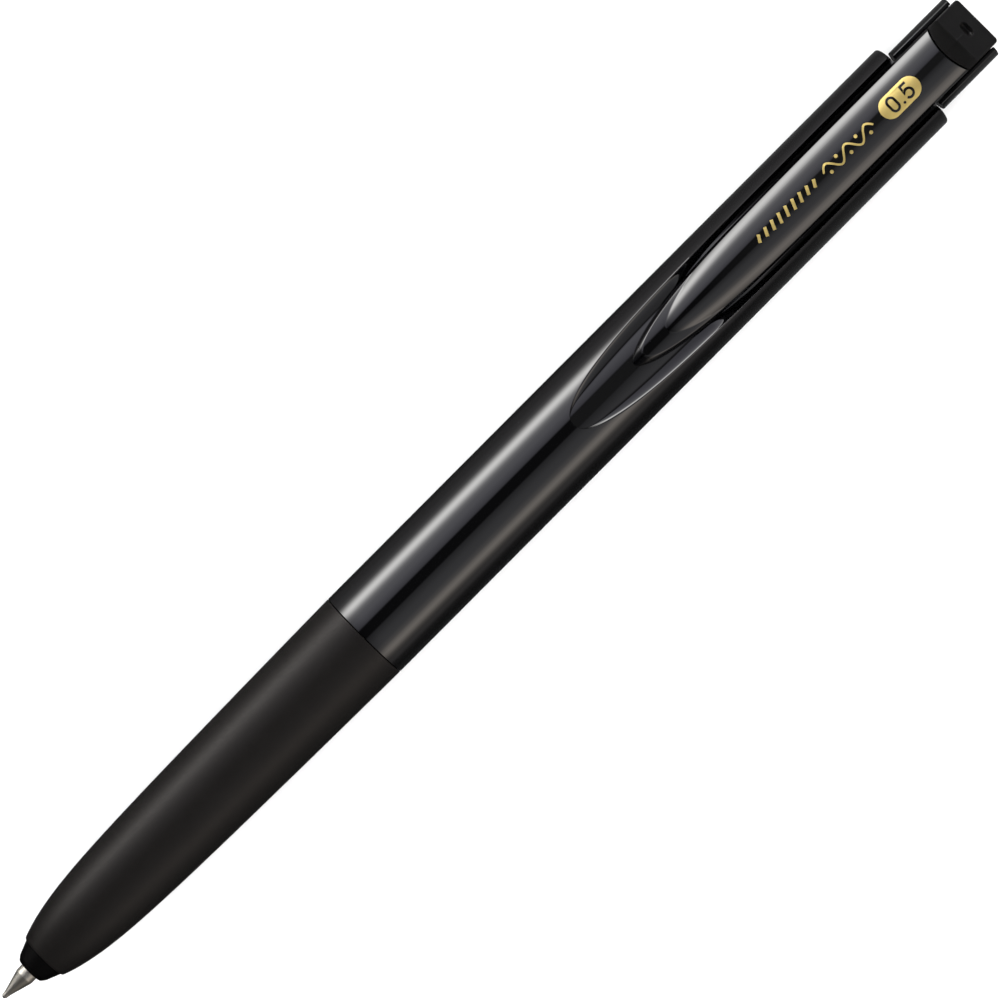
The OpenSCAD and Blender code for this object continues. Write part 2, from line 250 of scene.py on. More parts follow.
def slab(name, rows, top, bottom, crease=38, draft=None):
    """A piece with an upper and a lower surface over the same rows of (z, y) points.

    A draft pushes the lower surface's points back along the pen, which leans the rear face.
    """
    bm = bmesh.new()
    upper = [[bm.verts.new(place(z, y, top(z, y))) for z, y in row] for row in rows]
    lower = [[bm.verts.new(place(z + (draft(z) if draft else 0), y, bottom(z, y))) for z, y in row]
             for row in rows]
    for layer in (upper, lower):
        for first, second in zip(layer, layer[1:]):
            strip(bm, first, second)

    def rim(layer):
        return (layer[0] + [row[-1] for row in layer[1:-1]]
                + layer[-1][::-1] + [row[0] for row in layer[-2:0:-1]])

    strip(bm, rim(upper), rim(lower), loop=True)
    return finished(name, bm, crease)


def coil(name, mean_r, wire_r, start, end, turns, sides=12, steps=48):
    """A compression spring: its first and last turn lie flat, and the rest climb evenly."""
    rings = turns * steps
    rise = end - start - 2 * wire_r
    bm = bmesh.new()
    rows = []
    for i in range(rings + 1):
        if i <= steps:
            climb = i / steps * 2 * wire_r
        elif i >= rings - steps:
            climb = rise - (rings - i) / steps * 2 * wire_r
        else:
            climb = 2 * wire_r + (rise - 4 * wire_r) * (i - steps) / (rings - 2 * steps)
        angle = 2 * math.pi * i / steps
        row = []
        for k in range(sides):
            around = 2 * math.pi * k / sides
            r = mean_r + wire_r * math.cos(around)
            z = start + wire_r + climb + wire_r * math.sin(around)
            row.append(bm.verts.new(place(z, r * math.sin(angle), r * math.cos(angle))))
        rows.append(row)
    for first, second in zip(rows, rows[1:]):
        strip(bm, first, second, loop=True)
    bm.faces.new(rows[0])
    bm.faces.new(list(reversed(rows[-1])))
    return finished(name, bm, crease=60)


def united(base, others):
    """The union of several closed pieces, as one mesh."""
    for other in others:
        join = base.modifiers.new("join", "BOOLEAN")
        join.operation = "UNION"
        join.solver = "EXACT"
        join.use_self = True
        join.object = other
    bpy.context.view_layer.update()
    evaluated = base.evaluated_get(bpy.context.evaluated_depsgraph_get())
    mesh = bpy.data.meshes.new_from_object(evaluated)
    base.modifiers.clear()
    base.data = mesh
    for other in others:
        bpy.data.objects.remove(other)
    mesh.shade_smooth()
    mesh.set_sharp_from_angle(angle=math.radians(38))
    return base


# ---- Materials: every one is worked out by nodes from the piece's own millimetres ----

def material(name, colour, roughness, tint=0.15, grain=(9, 9, 9), vary=0.25, bump=0.0,
             bump_grain=(30, 30, 30), lumps=0.0, **constants):
    """A plastic, rubber or metal. Noise varies its colour and roughness, and a finer one is its texture."""
    made = bpy.data.materials.new(name)
    made.use_nodes = True
    nodes, links = made.node_tree.nodes, made.node_tree.links
    shader = nodes["Principled BSDF"]
    for socket, value in constants.items():
        shader.inputs[socket.replace("_", " ")].default_value = value
    where = nodes.new("ShaderNodeTexCoord")

    def noise(scale, detail):
        stretch = nodes.new("ShaderNodeMapping")
        stretch.inputs["Scale"].default_value = [s / MM for s in scale]
        pattern = nodes.new("ShaderNodeTexNoise")
        pattern.inputs["Scale"].default_value = 1.0
        pattern.inputs["Detail"].default_value = detail
        links.new(where.outputs["Object"], stretch.inputs["Vector"])
        links.new(stretch.outputs["Vector"], pattern.inputs["Vector"])
        return pattern

    cloud = noise([g * 0.05 for g in grain], 4)
    mix = nodes.new("ShaderNodeMix")
    mix.data_type = "RGBA"
    mix.inputs["A"].default_value = [c * (1 - tint) for c in colour] + [1]
    mix.inputs["B"].default_value = [c * (1 + tint) for c in colour] + [1]
    links.new(cloud.outputs["Fac"], mix.inputs["Factor"])
    links.new(mix.outputs["Result"], shader.inputs["Base Color"])

    rough = nodes.new("ShaderNodeMapRange")
    rough.inputs["From Min"].default_value = 0.3
    rough.inputs["From Max"].default_value = 0.7
    rough.inputs["To Min"].default_value = roughness * (1 - vary)
    rough.inputs["To Max"].default_value = roughness * (1 + vary)
    links.new(noise(grain, 5).outputs["Fac"], rough.inputs["Value"])
    links.new(rough.outputs["Result"], shader.inputs["Roughness"])

    normal = None
    for strength, pattern in ((bump, noise(bump_grain, 3)), (lumps, noise([0.25, 0.25, 0.25], 1))):
        if strength <= 0:
            continue
        relief = nodes.new("ShaderNodeBump")
        relief.inputs["Strength"].default_value = 1.0
        relief.inputs["Distance"].default_value = strength * MM
        links.new(pattern.outputs["Fac"], relief.inputs["Height"])
        if normal:
            links.new(normal, relief.inputs["Normal"])
        normal = relief.outputs["Normal"]
    if normal:
        links.new(normal, shader.inputs["Normal"])
    return made


GLOSS = material("gloss_black_plastic", (0.00065, 0.00065, 0.0008), 0.04, bump=0.00002, lumps=0.0006)
NOSE = material("nose_black_plastic", (0.0011, 0.0009, 0.0009), 0.42, bump=0.0006, Specular_IOR_Level=0.08)
MATTE = material("matte_black_plastic", (0.0021, 0.0019, 0.0018), 0.48, bump=0.002, bump_grain=(14, 14, 14),
                 Specular_IOR_Level=0.27)
RUBBER = material("grip_rubber", (0.0051, 0.0045, 0.0042), 0.42, bump=0.0014, bump_grain=(14, 14, 14),
                  Specular_IOR_Level=0.14, Specular_Tint=(1.0, 0.95, 0.92, 1))
STEEL = material("turned_steel", (0.33, 0.315, 0.28), 0.46, tint=0.12, grain=(30, 1.5, 1.5), bump=0.0022,
                 bump_grain=(8, 0.4, 0.4), Metallic=1.0)
WIRE = material("spring_wire", (0.55, 0.55, 0.56), 0.2, grain=(4, 4, 4), bump=0.0005, Metallic=1.0)
CARBIDE = material("ball_carbide", (0.28, 0.28, 0.30), 0.12, bump=0.0001, Metallic=1.0)
TUBE = material("clear_tube", (0.86, 0.89, 0.92), 0.16, tint=0.04, bump=0.0006,
                Transmission_Weight=0.985, IOR=1.49)
WHITE = material("natural_white_plastic", (0.38, 0.38, 0.36), 0.38, tint=0.05, bump=0.001)
GUIDE = material("guide_grey_plastic", (0.045, 0.045, 0.05), 0.36, bump=0.001)
INK = material("black_gel_ink", (0.004, 0.004, 0.006), 0.12, lumps=0.004)
GREASE = material("follower_grease", (0.42, 0.40, 0.26), 0.15, lumps=0.01, Transmission_Weight=0.6, IOR=1.46)
FOIL = material("gold_foil", (0.80, 0.63, 0.22), 0.5, tint=0.1, grain=(14, 14, 14), bump=0.0008, Metallic=1.0)


def dress(piece, skin, slot, body, *nodes):
    """Gives a new piece its material, puts it on its body and hides the CAD nodes it stands in for."""
    piece.data.materials.clear()
    piece.data.materials.append(skin)
    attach(piece, body)
    if nodes:
        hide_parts(*nodes)
    return piece


# ---- Barrel: a tube with a dished recess on top, open behind into the guide's bore ----

SEAM_EDGE, REAR_EDGE = 0.05, 0.35    # fillets at the barrel's two ends
FLOOR_LOW = 3.52
RIM_FILLET = 0.12
DISH_REACH = 0.2         # the dished walls flatten this far in from the rim
GUIDE_SHELL = 0.15       # the least wall left over the guide's bore


def barrel_radius(z):
    taper = clamp((z - RECESS_FRONT) / (BARREL_REAR - RECESS_FRONT))
    edges = edge_drop(z - BARREL_FRONT, SEAM_EDGE) + edge_drop(BARREL_REAR - z, REAR_EDGE)
    return lerp(BARREL_R, REAR_R, taper) - edges


def rim_half(z):
    """Half width of the recess's rim."""
    return RECESS_HALF * math.tanh(max(0.0, z - RECESS_FRONT) / 10.8) ** 0.4


def floor_crown(z):
    """Height of the recess's floor along its middle: it swoops down from the barrel's surface."""
    return FLOOR_LOW + (BARREL_R - FLOOR_LOW) * math.exp(-max(0.0, z - RECESS_FRONT) / 8.5)


def floor_height(z, y):
    """The recess's floor: slightly crowned, and never too close to the bores below it."""
    flat = floor_crown(z) - y * y / 12.6
    shell_r = lerp(BORE_R + 0.3, GUIDE_BORE_R + GUIDE_SHELL, clamp((z - 98.5) / 1.9))
    return max(flat, math.sqrt(max(0.0, shell_r * shell_r - y * y)))


def wall_height(z, y):
    """The recess's side walls: dished where they can be seen, steep and plain beside the clip."""
    rim = rim_half(z)
    beside = clamp((z - 99) / 10)
    slope, dish = lerp(0.97, 1.8, beside), lerp(0.82, 0.0, beside)
    depth = rim - abs(y)
    bend = DISH_REACH * (1 - math.exp(-depth / DISH_REACH)) if depth > 0 else depth
    return math.sqrt(barrel_radius(z) ** 2 - rim * rim) - (slope - dish) * depth - dish * bend


def foot_half(z):
    """Half width of the recess's floor, where its side walls start."""
    low, high = 0.0, rim_half(z)
    for _ in range(24):
        middle = (low + high) / 2
        if wall_height(z, middle) > floor_height(z, middle):
            high = middle
        else:
            low = middle
    return high


def barrel_top(z, y):
    """Height of the barrel's upper surface with its recess."""
    radius = barrel_radius(z)
    skin = math.sqrt(max(0.0, radius * radius - y * y))
    if z <= RECESS_FRONT:
        return skin
    depth = clamp((radius - floor_crown(z)) / 0.6)
    inside = smooth_max(floor_height(z, y), wall_height(z, y), 0.005 + 0.07 * depth)
    return smooth_min(skin, inside, 0.004 + RIM_FILLET * depth)


SLOT_COLUMNS, ROUND_COLUMNS = 16, 120    # from the middle to the slot's edge, and round the barrel's back


def barrel_columns(z):
    """Across positions over one half of the recess, close together at its foot and its rim."""
    rim = max(rim_half(z), 0.9)
    foot = max(min(foot_half(z), rim - 0.1), 0.5 * rim)
    inner = min(SLOT_HALF, 0.92 * foot)
    half = [inner * k / SLOT_COLUMNS for k in range(SLOT_COLUMNS + 1)]
    half += [lerp(inner, foot, t) for t in spread(0, 1, 4)[1:]]
    half += [lerp(foot, rim, t) for t in crowded(0, 1, 18)[1:]]
    return half + [rim + 0.5 * t for t in spread(0, 1, 8, 1.3)[1:]]


def outer_ring(z):
    """The barrel's outside at z, as (y, h) points that start at the top."""
    half = barrel_columns(z)
    radius = barrel_radius(z)
    start = math.asin(half[-1] / radius)
    right = [(y, barrel_top(z, y)) for y in half]
    around = [lerp(start, 2 * math.pi - start, k / ROUND_COLUMNS) for k in range(1, ROUND_COLUMNS)]
    back = [(radius * math.sin(a), radius * math.cos(a)) for a in around]
    left = [(-y, h) for y, h in reversed(right[1:])]
    return right + back + left


def bore_ring(radius, pattern):
    """A bore's points, spaced so that the slot's edges fall on the same columns as outside."""
    slot_in = math.asin(SLOT_HALF / GUIDE_BORE_R)
    slot_out = math.atan2(*pattern[SLOT_COLUMNS])
    ring = []
    for y, h in pattern:
        angle = math.atan2(y, h)
        if abs(angle) <= slot_out + 1e-6:
            turned = angle / slot_out * slot_in
        else:
            share = (abs(angle) - slot_out) / (math.pi - slot_out)
            turned = math.copysign(lerp(slot_in, math.pi, share), angle)
        ring.append((radius * math.sin(turned), radius * math.cos(turned)))
    return ring


def barrel_rows():
    """Where the barrel's rings are: ahead of the slot, and along it."""
    seam = [BARREL_FRONT + SEAM_EDGE * (1 - math.cos(math.pi / 2 * i / 4)) for i in range(5)]
    front = (seam + spread(54, 80, 13) + spread(81, RECESS_FRONT, 8) + spread(RECESS_FRONT, 86, 110, 1.7)[1:]
             + spread(86, 100, 112)[1:] + spread(100, SLOT_FRONT, 8)[1:])
    edge = [BARREL_REAR - REAR_EDGE * (1 - math.sin(math.pi / 2 * i / 6)) for i in range(7)]
    rear = [SLOT_FRONT + 0.5 * i for i in range(1, 55) if SLOT_FRONT + 0.5 * i < edge[0] - 0.2]
    return front, rear + edge


def barrel():
    front_rows, rear_rows = barrel_rows()
    pattern = outer_ring(SLOT_FRONT)
    count = len(pattern)
    in_slot = [k < SLOT_COLUMNS or k >= count - SLOT_COLUMNS for k in range(count)]
    bm = bmesh.new()

    def ring(z, points):
        return [bm.verts.new(place(z, y, h)) for y, h in points]

    def join(first, second, open_slot=False):
        for k in range(count):
            if not (open_slot and in_slot[k]):
                n = (k + 1) % count
                bm.faces.new([first[k], first[n], second[n], second[k]])

    bores = [(BARREL_FRONT, SOCKET_R), (SOCKET_END, SOCKET_R), (SOCKET_END, BORE_R), (GUIDE_FRONT, BORE_R),
             (GUIDE_FRONT, GUIDE_BORE_R), (SLOT_FRONT, GUIDE_BORE_R)]
    outer = [ring(z, outer_ring(z)) for z in front_rows + rear_rows]
    inner = [ring(z, bore_ring(r, pattern)) for z, r in bores + [(z, GUIDE_BORE_R) for z in rear_rows]]
    outer_slot, inner_slot = outer[len(front_rows) - 1:], inner[len(bores) - 1:]
    for rings, slot in ((outer, outer_slot), (inner, inner_slot)):
        for i, (first, second) in enumerate(zip(rings, rings[1:])):
            join(first, second, i >= len(rings) - len(slot))
    join(outer[0], inner[0])
    join(outer[-1], inner[-1], True)
    for k in (SLOT_COLUMNS, count - SLOT_COLUMNS):
        for i in range(len(rear_rows)):
            bm.faces.new([outer_slot[i][k], outer_slot[i + 1][k], inner_slot[i + 1][k], inner_slot[i][k]])
    for k in range(count):
        if in_slot[k]:
            n = (k + 1) % count
            bm.faces.new([outer_slot[0][k], outer_slot[0][n], inner_slot[0][n], inner_slot[0][k]])
    return finished("barrel_shell", bm, crease=30)


dress(barrel(), GLOSS, "gloss_black", "barrel", "rear_barrel")


# ---- Front section: nose, threaded spigot and grip ----

PUSH_PLAY = 0.46         # the refill can be pushed forward by this much from where it writes


def grip_radius(z):
    return 5.69 - 1.58 * math.exp(-(z - 6) / 4.55) - 1.40 * math.exp(-(z - 6) / 45.5)


def core_radius(z):
    """The nose section's outside under the grip, which is thinner towards the point."""
    return grip_radius(z) - min(0.95, 0.45 + 0.07 * (z - GRIP_FRONT))


THREAD_START, THREAD_END, THREAD_PITCH, THREAD_DEPTH = 53.4, 60.2, 1.1, 0.3


def threaded(z, radius, angle):
    """Cuts a helical thread into the spigot's outside."""
    if not (THREAD_START <= z <= THREAD_END and radius > 3.9):
        return radius
    phase = ((z / THREAD_PITCH) - angle / (2 * math.pi)) % 1.0
    fade = clamp(min(z - THREAD_START, THREAD_END - z) / 0.6)
    return radius - THREAD_DEPTH * fade * clamp(abs(phase - 0.5) * 3.2 - 0.3)


def nose_section():
    spigot_r = SOCKET_R - 0.06
    nose = rounded([(NOSE_FRONT + 0.1, 1.18, 0), (NOSE_FRONT, 1.26, 0.05), (NOSE_FRONT + 0.04, 1.5, 0.3),
                    (NOSE_FRONT + 0.5, 1.86, 0.9), (GRIP_FRONT, 2.5, 0)], closed=False)
    core = [(z, core_radius(z)) for z in spread(GRIP_FRONT + 0.02, GRIP_REAR - 0.02, 24)]
    spigot = ([(GRIP_REAR, core_radius(GRIP_REAR)), (GRIP_REAR, spigot_r)]
              + [(z, spigot_r) for z in spread(GRIP_REAR + 0.5, THREAD_START, 4)]
              + [(z, spigot_r) for z in spread(THREAD_START, THREAD_END, 90)[1:]]
              + [(SPIGOT_END - 0.3, spigot_r), (SPIGOT_END, spigot_r - 0.3)])
    spring_bore, holder_bore, point_bore = 2.1, 1.5, 1.18
    bore = [(SPIGOT_END, BORE_R), (19.4, BORE_R), (18.6, spring_bore), (9.5, spring_bore), (9.5, holder_bore),
            (7.0, holder_bore), (7.0, point_bore)]
    return lathe("nose_section", nose + core + spigot + bore, 144, threaded)


def rubber_grip():
    outside = [(z, grip_radius(z)) for z in spread(GRIP_FRONT + 0.2, GRIP_REAR - 0.2, 110, 1.5)]
    start, end = outside[0], outside[-1]
    front_edge = rounded([(GRIP_FRONT, 2.52, 0), (GRIP_FRONT, grip_radius(GRIP_FRONT) - 0.02, 0.1),
                          (start[0], start[1], 0)], closed=False)
    rear_edge = rounded([(end[0], end[1], 0), (GRIP_REAR, grip_radius(GRIP_REAR), 0.09),
                         (GRIP_REAR, core_radius(GRIP_REAR) + 0.02, 0)], closed=False)
    inside = [(z, core_radius(z) + 0.02) for z in spread(GRIP_REAR - 0.5, GRIP_FRONT + 0.5, 30)]
    return lathe("rubber_grip", front_edge + outside[1:-1] + rear_edge + inside, 176)


dress(nose_section(), NOSE, "nose_black", "front_section", "front_barrel")
dress(rubber_grip(), RUBBER, "grip_rubber", "front_section", "grip")
dress(coil("return_coil", 1.75, 0.2, SPRING_FRONT, SPRING_REAR - PUSH_PLAY, 11), WIRE, "spring_steel",
      "front_section", "return_spring")


# ---- Refill ----

def writing_point():
    corners = [(NIB_FRONT, 0.252, 0), (NIB_FRONT, 0.29, 0.02), (0.65, 0.35, 0.3), (3.05, 1.025, 0.5),
               (7.5, 1.025, 0.08), (7.5, 0.8, 0), (NIB_REAR, 0.8, 0.1), (NIB_REAR, 0.35, 0),
               (1.6, 0.35, 0), (1.6, 0.12, 0), (0.49, 0.12, 0), (0.40, 0.22, 0), (0.25, 0.265, 0)]
    return lathe("writing_point", rounded(corners), 96)


def point_holder():
    inner = TUBE_BORE_R - 0.02
    corners = [(HOLDER_FRONT, 0.82, 0), (HOLDER_FRONT, 1.3, 0.25), (20, 1.3, 0.15), (20, TUBE_R, 0.15),
               (TUBE_FRONT, TUBE_R, 0), (TUBE_FRONT, inner, 0), (HOLDER_REAR, inner, 0.4),
               (HOLDER_REAR, 0.6, 0), (10.6, 0.6, 0), (10.6, 0.82, 0)]
    return lathe("point_holder", rounded(corners), 96)


def plain_tube(name, start, end, inner, outer, fillet=0.1):
    corners = [(start, inner, 0), (start, outer, fillet), (end, outer, fillet), (end, inner, 0)]
    return lathe(name, rounded(corners), 120)


def plain_plug(name, start, end, radius, dish):
    """A soft plug in the tube, with a dished end at each side as liquids have."""
    front = [(start + dish * (t * t), radius * t) for t in spread(0, 1, 10)]
    rear = [(end - dish * (1 - t * t), radius * t) for t in spread(1, 0, 10)]
    return lathe(name, front + rear, 96)


dress(writing_point(), STEEL, "point_steel", "refill", "nib")
dress(point_holder(), WHITE, "white_plastic", "refill", "nib_holder")
dress(plain_tube("ink_tube", TUBE_FRONT, TUBE_REAR, TUBE_BORE_R, TUBE_R), TUBE, "clear_tube", "refill",
      "refill_tube")
dress(coil("ball_coil", 0.24, 0.05, BALL_SPRING_FRONT, BALL_SPRING_REAR, 12, 8, 24), WIRE,
      "spring_steel", "refill", "ball_spring")
dress(plain_plug("ink_column", HOLDER_REAR + 0.02, INK_REAR, TUBE_BORE_R - 0.02, 0.0), INK,
      "ink", "refill", "gel_ink")
dress(plain_plug("grease_plug", GREASE_FRONT, GREASE_REAR, TUBE_BORE_R - 0.02, 0.6), GREASE,
      "grease", "refill", "ink_follower")
dress(lathe("tube_tail", rounded([(PLUG_FRONT, 1.0, 0), (PLUG_FRONT, 2.08, 0.2), (TUBE_REAR, 2.08, 0),
                                  (TUBE_REAR, TUBE_R, 0), (PLUG_REAR, TUBE_R, 0.2),
                                  (PLUG_REAR, 1.0, 0.1)]), 96),
      GUIDE, "guide_plastic", "refill", "tail_plug")


# ---- Clip ----

CLIP_BEND = 92.1         # the dark nose ends here and the flatter facet starts
RIDGE_START = 95.4       # and here the crowned ridge rises out of the facet
FACET_HEIGHT = 4.85
FACET_R = 4.35
CLIP_SAG = 0.75
CLIP_END = CLIP_SIDE_END - CLIP_SAG


def clip_half(z):
    return CLIP_HALF * math.sqrt(math.tanh(max(0.0, z - CLIP_TIP) / 9.5))


def clip_rim(z, inset=1.0):
    """Half width of a line inset from the clip's outline: 0 is the outline, 1 the rim of its lit top."""
    start = lerp(CLIP_TIP, CLIP_BEND, inset)
    if z <= start:
        return 0.0
    apex = math.sqrt(1 - math.exp(-(z - start) / (0.6 * inset))) if inset > 0 else 1.0
    return (clip_half(z) - inset * (0.2 + 0.33 * math.exp(-max(0.0, z - CLIP_BEND) / 7))) * apex


def clip_inset(z, y):
    """How far a point is from the outline towards the rim, from 0 to 1."""
    low, high = 0.0, 1.0
    if clip_rim(z) >= abs(y) and z > CLIP_BEND:
        return 1.0
    for _ in range(22):
        middle = (low + high) / 2
        if clip_rim(z, middle) > abs(y) or (y == 0 and z > lerp(CLIP_TIP, CLIP_BEND, middle)):
            low = middle
        else:
            high = middle
    return low


def clip_rear(y):
    return CLIP_END + CLIP_SAG * (y / CLIP_HALF) ** 2


def ridge_height(z):
    return lerp(CLIP_CROWN, FACET_HEIGHT, math.exp(-max(0.0, z - RIDGE_START) / 1.6))


def ridge_radius(z):
    return 3.8 - 2.3 * math.exp(-max(0.0, z - RIDGE_START) / 7.5)


def crease_half(z):
    """Half width of the ridge where it meets the facet."""
    rise = ridge_height(z) - FACET_HEIGHT
    bend = 1 / (2 * ridge_radius(z)) - 1 / (2 * FACET_R)
    crease = math.sqrt(rise / bend) if bend > 1e-4 else CLIP_HALF
    return max(0.3 * clip_rim(z), min(crease, 0.96 * clip_rim(z)))


def clip_face(z, y):
    """The clip's upper surface inside its rim: a facet with a crowned ridge on it."""
    facet = FACET_HEIGHT - y * y / (2 * FACET_R)
    if z < RIDGE_START:
        return facet
    return smooth_max(ridge_height(z) - y * y / (2 * ridge_radius(z)), facet, 0.008)


def clip_drop(z):
    return 0.3 + 0.22 * math.exp(-(z - CLIP_TIP) / 6)


def clip_top(z, y):
    out, soft = 1 - clip_inset(z, y), 0.22
    fall = (math.hypot(out, soft) - soft) / (math.hypot(1, soft) - soft)
    return clip_face(z, y) - clip_drop(z) * fall - edge_drop(clip_rear(y) - z, 0.16)


CHANNEL_HALF = 1.95      # a channel under the clip, from here back
CHANNEL_FRONT = 99.6
CHANNEL_TOP = 4.05
SKIRT_LOW = 3.74         # the clip's sides reach down to here
ROOT_FRONT = 131.35      # behind this the clip is its root in the push tube, with a notch for the tongue
ROOT_LOW = 2.7
NOTCH_END, NOTCH_TOP, NOTCH_REAR_TOP = 133.7, 4.1, 3.4
CLIP_UNDER_R = 3.97      # the clip slides back over the barrel's shell round the guide with this radius


def clip_bottom(z, y):
    inside = abs(y) < CHANNEL_HALF - 0.005
    if z >= ROOT_FRONT - 0.001:
        if not inside:
            return ROOT_LOW
        return NOTCH_TOP if z < NOTCH_END else NOTCH_REAR_TOP
    if inside and z > CHANNEL_FRONT:
        return CHANNEL_TOP
    over_guide = math.sqrt(CLIP_UNDER_R ** 2 - y * y)
    return min(max(SKIRT_LOW, over_guide, floor_height(z, y) + 0.08), clip_top(z, y) - 0.02)


def clip_columns(z):
    """Across positions, in columns that follow the channel, the crease, the rim and the outline."""
    half, rim = clip_half(z), clip_rim(z)
    if z <= CLIP_BEND:
        rim = 0.9 * half
    crease = crease_half(z) if z > CLIP_BEND else 0.3 * rim
    if z < CHANNEL_FRONT:
        right = [crease * t for t in spread(0, 1, 12)] + [lerp(crease, rim, t) for t in spread(0, 1, 12)[1:]]
    else:
        crease = max(crease, CHANNEL_HALF + 0.02)
        right = [CHANNEL_HALF * t for t in spread(0, 0.994, 11)] + [CHANNEL_HALF]
        right += [lerp(CHANNEL_HALF, crease, t) for t in spread(0, 1, 5)[1:]]
        right += [lerp(crease, rim, t) for t in spread(0, 1, 7)[1:]]
    right += [lerp(rim, half, t) for t in spread(0, 1, 9, 1.2)[1:]]
    return [-y for y in reversed(right[1:])] + right


def clip():
    straight = (spread(CLIP_TIP + 0.002, CLIP_BEND, 34, 1.6)
                + spread(CLIP_BEND, CHANNEL_FRONT - 0.01, 90, 1.25)[1:]
                + spread(CHANNEL_FRONT + 0.01, 107, 60) + spread(107, ROOT_FRONT - 0.005, 60)[1:])
    rows = [[(z, y) for y in clip_columns(z)] for z in straight]
    across = clip_columns(ROOT_FRONT)
    for z in [ROOT_FRONT] + spread(ROOT_FRONT + 0.2, NOTCH_END - 0.01, 8):
        rows.append([(z, y) for y in across])
    for t in [0.0] + spread(0.05, 0.82, 6) + spread(0.84, 1, 10):
        rows.append([(lerp(NOTCH_END + 0.01, clip_rear(y), t), y) for y in across])
    return slab("clip_arm", rows, clip_top, clip_bottom, crease=30)


dress(clip(), GLOSS, "gloss_black", "clip_arm", "clip")


# ---- Push tube and end cap ----

TUBE_TOP_HALF = 3.47     # the push tube's side walls end in a narrow ledge this far out
CAVITY_HALF = 3.03
CAVITY_FLOOR = -2.2
PUSH_LEAN = 0.2          # the rear face leans forward by this much
BULKHEAD_REAR = 131.9
NECK_R, NECK_BORE_R = 3.08, 2.32
TONGUE_HALF = 1.9
PEG_Z, PEG_H, PEG_R, PEG_HALF = 133.0, 3.4, 0.4, 2.44


def push_shell():
    """The U-shaped tube: a round back and two side walls that end in ledges."""
    top = math.sqrt(PUSH_R ** 2 - TUBE_TOP_HALF ** 2)
    start = math.atan2(TUBE_TOP_HALF, top)
    back = [(PUSH_R * math.sin(a), PUSH_R * math.cos(a), 0)
            for a in [lerp(start, 2 * math.pi - start, k / 110) for k in range(1, 110)]]
    ledge, corner, front_edge, rear_edge = 0.12, 0.3, 0.06, 0.11
    trough = [(-TUBE_TOP_HALF, top, ledge), (-CAVITY_HALF, top - 0.02, ledge),
              (-CAVITY_HALF, CAVITY_FLOOR, corner), (CAVITY_HALF, CAVITY_FLOOR, corner),
              (CAVITY_HALF, top - 0.02, ledge), (TUBE_TOP_HALF, top, ledge)]
    front = [(PUSH_FRONT + front_edge * (1 - math.cos(a)), front_edge * (1 - math.sin(a)))
             for a in [math.pi / 2 * k / 5 for k in range(6)]]
    rear = [(PUSH_END - rear_edge * (1 - math.sin(a)), rear_edge * (1 - math.cos(a)))
            for a in [math.pi / 2 * k / 6 for k in range(7)]]
    shell = prism("push_shell", rounded(back + trough), front + [(135.0, 0.0)] + rear)
    for v in shell.data.vertices:
        if v.co.x > place(138, 0, 0).x:
            v.co.x -= PUSH_LEAN * (v.co.z - place(0, 0, -PUSH_R).z) / (PUSH_R + top)
    return shell, top


def cross_pegs():
    """The two pegs that hold the clip, as one pin across the tongue."""
    front, rear = PEG_Z - PEG_R, PEG_Z + PEG_R
    pegs = lathe("pegs", [(front, 0), (front, PEG_R), (rear, PEG_R), (rear, 0)], 48)
    pegs.data.transform(Matrix.Translation(-place(PEG_Z, 0, 0)))
    pegs.data.transform(Matrix.Diagonal((PEG_HALF / PEG_R, 1, 1, 1)))
    pegs.data.transform(Matrix.Rotation(math.pi / 2, 4, "Z"))
    pegs.data.transform(Matrix.Translation(place(PEG_Z, 0, PEG_H)))
    return pegs


def push_tube():
    shell, top = push_shell()
    side, low = CAVITY_HALF + 0.2, CAVITY_FLOOR - 0.2
    bulkhead = prism("bulkhead", [(-side, top - 0.04), (-side, low), (side, low), (side, top - 0.04)],
                     [(PUSH_FRONT + 0.03, 0.0), (BULKHEAD_REAR, 0.0)])
    neck = lathe("neck", rounded([(NECK_FRONT, NECK_BORE_R, 0), (NECK_FRONT, NECK_R, 0.1), (131.5, NECK_R, 0),
                                  (131.5, NECK_BORE_R, 0)]), 110)
    tongue = prism("tongue", rounded([(-TONGUE_HALF, 0.5, 0), (TONGUE_HALF, 0.5, 0), (TONGUE_HALF, 3.88, 0.3),
                                      (-TONGUE_HALF, 3.88, 0.3)]), [(131.4, 0), (133.5, 0)])
    return united(shell, [bulkhead, neck, tongue, cross_pegs()])


RAMP_END = 136.65
THUMB_REST = 3.3
CAP_GAP = 0.1
CAP_DRAFT = 0.34         # the cap's rear face leans forward by this much
CAP_TOP_END = CAP_END - CAP_DRAFT
CAP_LOW = CAVITY_FLOOR + 0.1


CAP_CORNER, CAP_EDGE = 0.4, 0.13


def cap_top(z, y):
    """The cap's ramp and thumb rest, with its dimple, its fine mould line and its rounded edge."""
    start = clip_rear(y) + CAP_GAP
    steep = (clip_face(CLIP_END, y) - 0.02 - THUMB_REST) / (RAMP_END - start)
    height = smooth_max(THUMB_REST, THUMB_REST + (RAMP_END - z) * steep, 0.05)
    out_y = abs(y) - (CAP_HALF - CAP_CORNER)
    out_z = z - (CAP_TOP_END - CAP_CORNER)
    outside = math.hypot(max(out_y, 0.0), max(out_z, 0.0)) + min(max(out_y, out_z), 0.0) - CAP_CORNER
    dent = 1 - ((z - 138.2) / 0.36) ** 2 - ((y - 0.1) / 0.85) ** 4
    height -= 0.45 * max(0.0, dent)
    height += 0.015 * math.exp(-(y / 0.06) ** 2) * clamp((137.7 - z) / 0.2)
    return height - edge_drop(-outside, CAP_EDGE)


